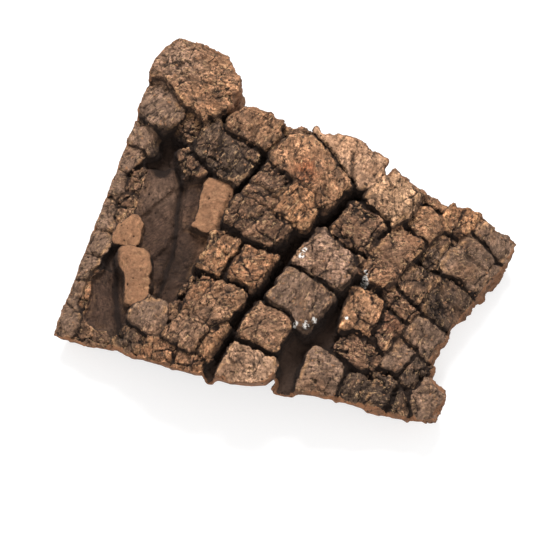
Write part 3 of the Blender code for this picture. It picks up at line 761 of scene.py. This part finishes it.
    grain = swell(noise_of(stretched(1.2, 1.0, 0.3, 1.0, turned), 2.0), "Chip Grain", worn)
    ridges = swell(noise_of(stretched(value("Inner Ridge Spacing"), 1.0, 0.12, 1.0), 2.0),
                   "Inner Ridge Depth", inner, off_ground)

    raised = combine("SUBTRACT", combine("ADD", lumps, wrinkles, facet), combine("ADD", coarse, fine, crumbs))
    total = combine("SUBTRACT", combine("ADD", raised, layers, torn, grain, ridges), pore_cut)
    shift = scaled(tree, node(tree, "GeometryNodeInputNormal"), total)
    last = given.outputs["Geometry"]
    for name, field in (("raised", raised), ("hollow", combine("ADD", coarse, fine)), ("pore", pore)):
        last = node(tree, "GeometryNodeStoreNamedAttribute", {"Geometry": last, "Name": name, "Value": field},
                    data_type="FLOAT", domain="POINT").outputs[0]
    moved = node(tree, "GeometryNodeSetPosition", {"Geometry": last, "Offset": shift})
    tree.links.new(moved.outputs[0], out.inputs["Geometry"])
    return tree


def thin_out(mesh):
    """Leaves the mesh only as many triangles as its form needs."""
    obj = placed("fine", mesh)
    mesh.calc_loop_triangles()
    decimate = obj.modifiers.new("fewer_faces", "DECIMATE")
    decimate.ratio = min(1.0, TRIANGLES / len(mesh.loop_triangles))
    decimate.use_collapse_triangulate = True
    return plain_mesh(obj)


def fine_bark():
    """The finished piece's mesh, in metres, in the frame."""
    mesh = shaped_bark()
    mark_surface(mesh)
    smooth_piece = placed("smooth_piece", mesh)
    run_tree(smooth_piece, weather_tree(), WEATHER)
    mesh = thin_out(plain_mesh(smooth_piece))
    points = mesh_points(mesh)
    middle = (points.max(axis=0) + points.min(axis=0)) / 2
    points -= (middle[0], middle[1], 0)
    points[:, 2] = np.maximum(points[:, 2], 0)
    set_points(mesh, points * MM)
    mesh.shade_smooth()
    return mesh


def shader_material(name):
    """A new material with its node tree and its shader."""
    material = bpy.data.materials.new(name)
    material.use_nodes = True
    tree = material.node_tree
    return material, tree, tree.nodes["Principled BSDF"]


def shading_tools(tree):
    """Short ways to lay down attributes, noise, ramps and coats of colour, and the place on the piece."""
    place = node(tree, "ShaderNodeTexCoord").outputs["Object"]

    def attribute(name, output="Fac"):
        return node(tree, "ShaderNodeAttribute", attribute_name=name).outputs[output]

    def grain(size_mm, detail=4.0, roughness=0.6, stretch=(1.0, 1.0, 1.0), on=place):
        drawn = node(tree, "ShaderNodeMapping", {"Vector": on, "Scale": stretch})
        texture = node(tree, "ShaderNodeTexNoise", {"Vector": drawn, "Scale": 1 / (size_mm * MM),
                                                    "Detail": detail, "Roughness": roughness})
        return texture.outputs["Fac"]

    def ramp(value, low, high, bottom=0.0, top=1.0):
        """The value carried from low..high to bottom..top."""
        return node(tree, "ShaderNodeMapRange", {0: value, 1: low, 2: high, 3: bottom, 4: top}).outputs[0]

    def coated(colour, *coats):
        """The colour under thin coats, each a share and a colour."""
        for share, coat in coats:
            made = node(tree, "ShaderNodeMix", {0: share}, data_type="RGBA")
            for key, value in ((6, colour), (7, coat)):
                if isinstance(value, str):
                    made.inputs[key].default_value = (*srgb(value), 1)
                else:
                    tree.links.new(value, made.inputs[key])
            colour = made.outputs[2]
        return colour

    return attribute, grain, ramp, coated, place


def dress(tree, shader, colour, roughness, height, depth_mm, strength=0.8):
    """Links the colour and a fine bump, and sets a dry surface."""
    tree.links.new(colour, shader.inputs["Base Color"])
    shader.inputs["Roughness"].default_value = roughness
    shader.inputs["Specular IOR Level"].default_value = 0.2
    bump = node(tree, "ShaderNodeBump", {"Strength": strength, "Distance": depth_mm * MM, "Height": height})
    tree.links.new(bump.outputs[0], shader.inputs["Normal"])


def weathered_cork():
    """Cork crust that has stood in the weather: matt and granular, tan where rubbed, with painted shade in
    the fissures.

    The grain of cork is too fine to show on a whole piece, so it is drawn as streaks about 1 mm wide.
    """
    material, tree, shader = shader_material("weathered_cork_crust")
    attribute, grain, ramp, coated, place = shading_tools(tree)
    inside, chip, ground = attribute("inside"), attribute("chip"), attribute("floor")

    def product(*shares):
        return chained(tree, "MULTIPLY", *shares)

    def off(share, left):
        """1 where the share is 0, and only what is left where it is 1."""
        return ramp(share, 0.0, 1.0, 1.0, left)

    not_ground = off(ground, 0.1)

    def worn(colour):
        """Brown and dark patches; light high spots and rims, worn with painted highlight; painted shade with
        dirt in hollows and small cracks; dark pores.
        """
        raised = attribute("raised")
        old = off(chip, 0.3)
        old_crust = product(old, off(ground, 0.15))
        rim_wear_and_highlight = product(ramp(inside, 0.0, 0.4), ramp(inside, 0.6, 1.6, 1.0, 0.0))
        return coated(
            colour,
            (product(ramp(grain(8.0), 0.48, 0.60, 0.0, 0.45), old_crust), TONES["brown"]),
            (product(ramp(grain(3.0), 0.52, 0.62, 0.0, 0.6), old_crust), TONES["dark"]),
            # Light tan on high spots and plate rims: worn cork with painted highlight.
            (product(ramp(raised, 0.05, 0.5, 0.0, 0.55), old_crust), WEAR_AND_HIGHLIGHT),
            (product(rim_wear_and_highlight, ramp(grain(4.0), 0.46, 0.58, 0.0, 0.55), old_crust), WEAR_AND_HIGHLIGHT),
            # Painted shade with dirt in the low places of the relief and in its small cracks.
            (product(ramp(raised, -0.2, -0.75, 0.0, 0.75), old_crust), DIRT_AND_SHADE),
            (product(ramp(attribute("hollow"), 0.2, 0.5, 0.0, 0.9), old), DIRT_AND_SHADE),
            (ramp(attribute("pore"), 0.2, 0.8, 0.0, 0.85), DIRT_AND_SHADE))

    def streaked(colour):
        """Lighter and darker in four sizes, then painted highlight streaks and dark streaks that run each
        plate's own way.
        """
        turned = node(tree, "ShaderNodeVectorRotate", {"Vector": place, "Angle": attribute("turn")},
                      rotation_type="Z_AXIS").outputs[0]
        along, across = (1.0, 0.35, 1.0), (0.4, 1.0, 1.0)
        contrast = product(ramp(grain(5.0, 3.0), 0.40, 0.56, 0.5, 1.0), off(ground, 0.8), off(chip, 0.5),
                           ramp(attribute("crumbly"), 0.5, 0.6, 0.75, 1.0))
        swings = ((grain(5.0, 2.0), 0.2), (grain(2.6, 3.0, 0.6), 0.3),
                  (grain(1.0, 3.0, 0.75, along, turned), 0.8), (grain(0.9, 3.0, 0.75), 0.6))
        for pattern, reach in swings:
            swing = node(tree, "ShaderNodeMath",
                         {0: ramp(pattern, 0.36, 0.64, -reach, reach), 1: contrast, 2: 1.0},
                         operation="MULTIPLY_ADD")
            colour = scaled(tree, colour, swing)
        # The light streaks are painted highlights on the crumbs.
        light = ramp(grain(0.9, 3.0, 0.75, along, turned), 0.57, 0.66, 0.0, 0.6)
        dark = ramp(grain(1.1, 3.0, 0.75, across, turned), 0.56, 0.63, 0.0, 0.85)
        return coated(colour, (product(light, contrast, not_ground), CRUMB_HIGHLIGHT),
                      (product(dark, contrast, not_ground), DIRT_AND_SHADE))

    def fissured(colour):
        """Painted shade over the walls' darker crust, painted shade with dirt in cracks and grooves, deeper
        painted shade at the bottom of the fissures, and the spots of mould.
        """
        groove = attribute("groove")
        wall = ramp(attribute("wall"), 0.2, 0.8, 0.0, 0.9)
        sunk = ramp(attribute("sunk"), 0.35, 0.9)
        return coated(
            colour,
            # Painted shade on the fissure walls, over their darker crust.
            (product(wall, ramp(grain(1.2, 3.0, 0.6), 0.3, 0.6, 1.0, 0.6)), WALL_SHADE),
            # Painted shade with dirt in the cracks between plates, in the grooves and down the fissures'
            # rims.
            (ramp(attribute("crack"), 0.7, 1.3, 0.0, 0.95), DIRT_AND_SHADE),
            (product(ramp(groove, 0.5, 1.6, 0.0, 0.8), off(ground, 0.0)), DIRT_AND_SHADE),
            (product(ramp(groove, 1.2, 2.4, 0.0, 0.9), ground), DIRT_AND_SHADE),
            (product(ramp(inside, -0.1, -0.5, 0.0, 0.95), not_ground), DIRT_AND_SHADE),
            # Painted shade at the bottom of the fissures, darker the deeper it lies.
            (product(sunk, ramp(inside, -0.6, -2.0, 0.0, 0.9), not_ground), FISSURE_FLOOR_SHADE),
            (product(ramp(attribute("mould"), 0.4, 0.7), ramp(grain(1.1, 3.0), 0.46, 0.51)), MOULD))

    colour = fissured(streaked(worn(attribute("tint", "Color"))))
    dress(tree, shader, colour, 0.92, grain(0.8, 5.0, 0.7), 0.5)
    return material


def sawn_cork():
    """Cork as the saw left it: pale orange with faint yearly layers, browner where it broke instead."""
    material, tree, shader = shader_material("sawn_cork_edge")
    attribute, grain, ramp, coated, _ = shading_tools(tree)
    bent = node(tree, "ShaderNodeMath", {0: grain(12.0, 4.0, 0.6), 1: 9.0, 2: attribute("height")},
                operation="MULTIPLY_ADD")
    layer = node(tree, "ShaderNodeMath", {0: bent, 1: 1.1}, operation="PINGPONG").outputs[0]
    patches = ramp(grain(7.0), 0.40, 0.60, 0.1, 0.9)
    colour = coated(
        SAWN,
        (chained(tree, "MULTIPLY", ramp(layer, 0.0, 0.5, 0.9, 0.0), patches), SAWN_DARK),
        (ramp(attribute("broken"), 0.3, 0.9, 0.0, 0.55), TONES["brown"]),
        (ramp(grain(5.0), 0.48, 0.62, 0.0, 0.65), TONES["dark"]),
        (ramp(grain(1.8, 4.0, 0.7, (1.0, 1.0, 2.0)), 0.50, 0.66, 0.0, 0.7), SAWN_DARK),
        (ramp(grain(1.3, 4.0), 0.55, 0.66, 0.0, 0.85), DIRT_AND_SHADE))
    dress(tree, shader, colour, 0.88, grain(1.0, 4.0), 0.3)
    return material


def inner_bark():
    """The face that lay against the trunk: red-brown, with dark lengthwise streaks and a slight sheen."""
    material, tree, shader = shader_material("inner_bark_face")
    _, grain, ramp, coated, _ = shading_tools(tree)
    streak = grain(2.0, 5.0, 0.6, (1.0, 0.1, 1.0))
    colour = coated(INNER_DARK, (ramp(streak, 0.40, 0.60), INNER),
                    (ramp(grain(15.0, 3.0), 0.52, 0.64, 0.0, 0.6), SAWN_DARK))
    dress(tree, shader, colour, 0.72, streak, 0.3, 0.5)
    return material


def flake_cork():
    """Small loose flakes of the same cork: dry, matt, some fresh and some dirty."""
    material, tree, shader = shader_material("loose_cork_flakes")
    attribute, grain, ramp, coated, _ = shading_tools(tree)
    colour = coated(TONES["dark"], (ramp(attribute("shade"), 0.1, 0.9), TONES["tan"]))
    dress(tree, shader, colour, 0.92, grain(0.7, 4.0), 0.2)
    return material


def flake_tree(material):
    """Flat crumbs of cork laid at random on the old crust, each turned to it."""
    tree, given, out = new_tree("loose_flakes", FLAKES)

    def chance(kind, low, high, salt):
        seed = node(tree, "ShaderNodeMath", {0: given.outputs["Flake Seed"], 1: salt}, operation="ADD")
        return node(tree, "FunctionNodeRandomValue", {"Min": low, "Max": high, "Seed": seed}, data_type=kind)

    def either_way(reach, salt):
        """Random numbers from minus to plus the reach, one for each axis."""
        return chance("FLOAT_VECTOR", tuple(-r for r in reach), reach, salt).outputs[0]

    on_plate = node(tree, "ShaderNodeMapRange", {0: stored(tree, "inside"), 1: -0.4, 2: 0.6}).outputs[0]
    facing = node(tree, "ShaderNodeSeparateXYZ", {0: node(tree, "GeometryNodeInputNormal")}).outputs[2]
    level = node(tree, "ShaderNodeMapRange", {0: facing, 1: 0.3, 2: 0.7}).outputs[0]
    worn = chained(tree, "MAXIMUM", stored(tree, "chip"), stored(tree, "floor"))
    old = chained(tree, "SUBTRACT", 1.0, worn)
    density = chained(tree, "MULTIPLY", given.outputs["Flakes Per Area"], on_plate, level, old)
    points = node(tree, "GeometryNodeDistributePointsOnFaces", {
        "Mesh": given.outputs["Geometry"], "Density": density, "Seed": given.outputs["Flake Seed"]})
    shaded = node(tree, "GeometryNodeStoreNamedAttribute",
                  {"Geometry": points.outputs["Points"], "Name": "shade",
                   "Value": chance("FLOAT", 0.0, 1.0, 1).outputs[1]}, data_type="FLOAT", domain="POINT")
    ball = node(tree, "GeometryNodeMeshIcoSphere", {"Radius": given.outputs["Flake Size"], "Subdivisions": 1})
    uneven = node(tree, "GeometryNodeSetPosition", {"Geometry": ball.outputs["Mesh"],
                                                    "Offset": either_way(FLAKE_JITTER, 2)})
    spin = node(tree, "FunctionNodeEulerToRotation", {0: either_way(FLAKE_TURN, 3)})
    turned = node(tree, "FunctionNodeRotateRotation", {0: points.outputs["Rotation"], 1: spin},
                  rotation_space="LOCAL")
    sizes = chance("FLOAT_VECTOR", FLAKE_SMALLEST, FLAKE_LARGEST, 4).outputs[0]
    laid = node(tree, "GeometryNodeInstanceOnPoints",
                {"Points": shaded, "Instance": uneven, "Rotation": turned, "Scale": sizes})
    real = node(tree, "GeometryNodeRealizeInstances", {"Geometry": laid})
    finished = node(tree, "GeometryNodeSetMaterial", {"Geometry": real, "Material": material})
    tree.links.new(finished.outputs[0], out.inputs["Geometry"])
    return tree


def flake_mesh(crust):
    """The loose flakes on that crust."""
    ground = placed("flake_ground", crust.copy())
    run_tree(ground, flake_tree(flake_cork()), FLAKES)
    return plain_mesh(ground)


def give_materials(mesh):
    """Crust on top, sawn cork on the sides and inner bark below, face by face."""
    mesh.materials.clear()
    for material in (weathered_cork(), sawn_cork(), inner_bark()):
        mesh.materials.append(material)
    corners = read(mesh.polygons, "vertices", 3, np.int32)

    def mostly(name):
        return read(mesh.attributes[name].data, "value")[corners, 0].mean(axis=1) > 0.5

    index = np.where(mostly("inner"), 2, np.where(mostly("side"), 1, 0)).astype(np.int32)
    mesh.polygons.foreach_set("material_index", index)
    mesh.update()


def part_of(mesh, kinds):
    """A copy of the mesh with only the faces of those materials."""
    kept = bmesh.new()
    kept.from_mesh(mesh)
    others = [face for face in kept.faces if face.material_index not in kinds]
    bmesh.ops.delete(kept, geom=others, context="FACES")
    part = mesh.copy()
    kept.to_mesh(part)
    kept.free()
    return part


def add_piece(name, mesh):
    """A finished piece of the bark, which stands for the solid together with the others."""
    piece = placed(name, mesh)
    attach(piece, "root")
    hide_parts("bark")


def lamp(name, place, size, power, target):
    """A soft square light turned to the target."""
    light = bpy.data.lights.new(name, "AREA")
    light.size = size
    light.energy = power
    obj = placed(name, light)
    obj.location = Vector(place) + target
    obj.rotation_euler = (-Vector(place)).to_track_quat("-Z", "Y").to_euler()


def white_paper():
    """Matt white paper that glows a little, so that it stays white under the piece's soft shadow."""
    paper, _, shader = shader_material("white_paper")
    shader.inputs["Base Color"].default_value = (PAPER_GREY, PAPER_GREY, PAPER_GREY, 1)
    shader.inputs["Roughness"].default_value = 0.9
    shader.inputs["Emission Color"].default_value = (1, 1, 1, 1)
    shader.inputs["Emission Strength"].default_value = PAPER_GLOW
    return paper


def aim_camera(middle):
    """A long lens from the side and height that the photograph was taken from."""
    flat = math.cos(VIEW_ELEVATION)
    back = Vector((math.sin(VIEW_AZIMUTH) * flat, -math.cos(VIEW_AZIMUTH) * flat, math.sin(VIEW_ELEVATION)))
    camera = placed("camera", bpy.data.cameras.new("camera"))
    camera.data.sensor_width = FILM_WIDTH
    camera.data.lens = FILM_WIDTH * VIEW_DISTANCE / VIEW_WIDTH
    camera.data.clip_start = 0.05
    camera.location = middle + back * VIEW_DISTANCE
    camera.rotation_euler = (-back).to_track_quat("-Z", "Y").to_euler()
    bpy.context.scene.camera = camera


def studio(low, high):
    """White paper, a soft light from behind and above, a fill, and the camera of the photograph's view."""
    middle = (low + high) / 2
    floor = placed("studio_floor", bpy.data.meshes.new("studio_floor"))
    corners = [(PAPER_HALF * x, PAPER_HALF * y, 0) for x, y in ((-1, -1), (1, -1), (1, 1), (-1, 1))]
    floor.data.from_pydata(corners, [], [(0, 1, 2, 3)])
    floor.location = (0, 0, low.z - PAPER_GAP)
    floor.data.materials.append(white_paper())
    for name, place, size, power in LAMPS:
        lamp(name, place, size, power, middle)
    world = bpy.data.worlds.new("studio")
    world.use_nodes = True
    background = world.node_tree.nodes["Background"]
    background.inputs["Color"].default_value = (1, 1, 1, 1)
    background.inputs["Strength"].default_value = DAYLIGHT
    bpy.context.scene.world = world
    bpy.context.scene.view_settings.view_transform = "Standard"
    aim_camera(middle)


bark_mesh = fine_bark()
give_materials(bark_mesh)
crust_mesh = part_of(bark_mesh, (0,))
add_piece("loose_flakes", flake_mesh(crust_mesh))
add_piece("plated_crust", crust_mesh)
add_piece("sides_and_inner_face", part_of(bark_mesh, (1, 2)))
studio(cad_low, cad_high)
